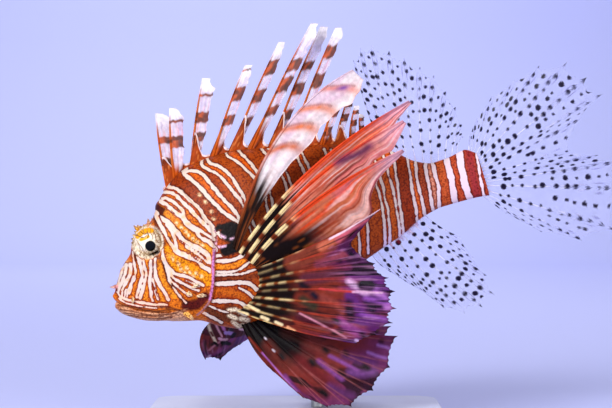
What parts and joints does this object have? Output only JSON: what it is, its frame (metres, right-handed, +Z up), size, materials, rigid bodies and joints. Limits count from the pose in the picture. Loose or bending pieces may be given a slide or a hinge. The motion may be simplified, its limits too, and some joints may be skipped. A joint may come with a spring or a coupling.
{
  "type": "red lionfish",
  "caption": "Life-size model of a swimming red lionfish with long banded fins and spines, on a plain stand.",
  "frame": {"origin": "centre of the underside of the stand's base", "axes": "+Z up, the fish faces -X with its nose down, its left side faces -Y"},
  "size_m": [0.2956, 0.1745, 0.234],
  "materials": {
    "skin": "banded red-brown, orange and white scaly skin, slightly wet",
    "eye": "glossy black pupil in a pale radially marked iris",
    "spine_fin": "banded red-brown spines with thin pale membranes",
    "clear_fin": "thin translucent membrane with dark spots along its rays",
    "pectoral_fin": "dark red-brown to purple membrane with pale banded rays",
    "pelvic_fin": "dark red-brown membrane with pale spots",
    "base": "satin pale lilac-grey lacquered board",
    "rod": "brushed steel rod"
  },
  "bodies": {
    "root": {"head": "skin", "lower_jaw": "skin", "trunk_front": "skin", "trunk_rear": "skin", "tail_stalk": "skin", "eye_left": "eye", "eye_right": "eye", "dorsal_fin_spiny": "spine_fin", "dorsal_fin_soft": "clear_fin", "anal_fin": "clear_fin", "caudal_fin": "clear_fin", "pectoral_fin_left": "pectoral_fin", "pectoral_fin_right": "pectoral_fin", "pelvic_fin_left": "pelvic_fin", "pelvic_fin_right": "pelvic_fin", "stand_base": "base", "stand_rod": "rod"}
  },
  "joints": []
}
